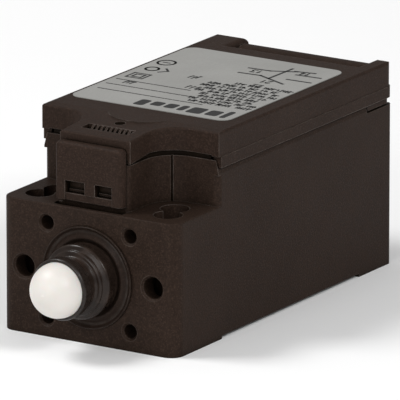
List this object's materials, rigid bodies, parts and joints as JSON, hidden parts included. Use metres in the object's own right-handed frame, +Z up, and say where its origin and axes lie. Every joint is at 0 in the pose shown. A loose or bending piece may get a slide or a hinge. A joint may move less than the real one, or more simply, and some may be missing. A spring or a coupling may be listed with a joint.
{
  "type": "limit switch",
  "caption": "Plunger limit switch: dark plastic box with a domed white plunger in a rubber boot, hinged snap cover, fixing holes and rear cable entry.",
  "frame": {"origin": "midway between the two fixing holes of 20 mm pitch, on the mounting face", "axes": "+X across the body, +Y from the plunger towards the cable entry, +Z up out of the mounting face towards the cover"},
  "size_m": [0.0306, 0.0719, 0.0313],
  "materials": {
    "body_plastic": "dark brown-black glass-filled plastic, fine moulded grain",
    "cover_plastic": "dark brown-black plastic, fine moulded grain",
    "steel": "ground steel",
    "seal_rubber": "black rubber",
    "label_foil": "silver-grey printed foil",
    "tip_plastic": "warm white plastic, satin",
    "collar_plastic": "black plastic",
    "bush_plastic": "natural acetal",
    "boot_rubber": "black rubber, slightly glossy",
    "block_plastic": "grey-beige moulded insulator",
    "carrier_plastic": "natural acetal",
    "brass": "stamped brass",
    "silver": "silver alloy",
    "spring_steel": "spring wire",
    "screw_steel": "zinc-plated steel"
  },
  "bodies": {
    "housing": {"base_housing": "body_plastic", "guide_bush": "bush_plastic", "rubber_boot": "boot_rubber", "contact_block": "block_plastic", "fixed_contact_nc_left": "brass", "fixed_contact_nc_right": "brass", "fixed_contact_no_left": "brass", "fixed_contact_no_right": "brass", "fixed_rivets": "silver", "clamp_washers": "screw_steel", "terminal_screws": "screw_steel", "block_screws": "screw_steel", "cover_gasket": "seal_rubber", "return_spring": "spring_steel"},
    "lid": {"cover": "cover_plastic", "hinge_pin": "steel", "rating_label": "label_foil"},
    "latch": {"cover_latch": "cover_plastic"},
    "plunger": {"plunger_tip": "tip_plastic", "tip_collar": "collar_plastic", "plunger_rod": "steel", "contact_carrier": "carrier_plastic", "contact_bridge_nc": "brass", "contact_bridge_no": "brass", "bridge_rivets": "silver", "contact_springs": "spring_steel"}
  },
  "joints": [
    {"name": "plunger_slide", "type": "slide", "parent": "housing", "child": "plunger", "axis": [0, 1, 0], "range_m": [0, 0.004], "stiffness_N_per_m": 1200, "springref_m": -0.004, "deforming": ["return_spring", "rubber_boot"]},
    {"name": "cover_hinge", "type": "hinge", "parent": "housing", "child": "lid", "pos_m": [0, 0.05, 0.0274], "axis": [-1, 0, 0], "range_deg": [0, 90]},
    {"name": "latch_flex", "type": "hinge", "parent": "lid", "child": "latch", "pos_m": [0, -0.0045, 0.0286], "axis": [-1, 0, 0], "range_deg": [0, 10], "stiffness_Nm_per_rad": 0.05}
  ]
}
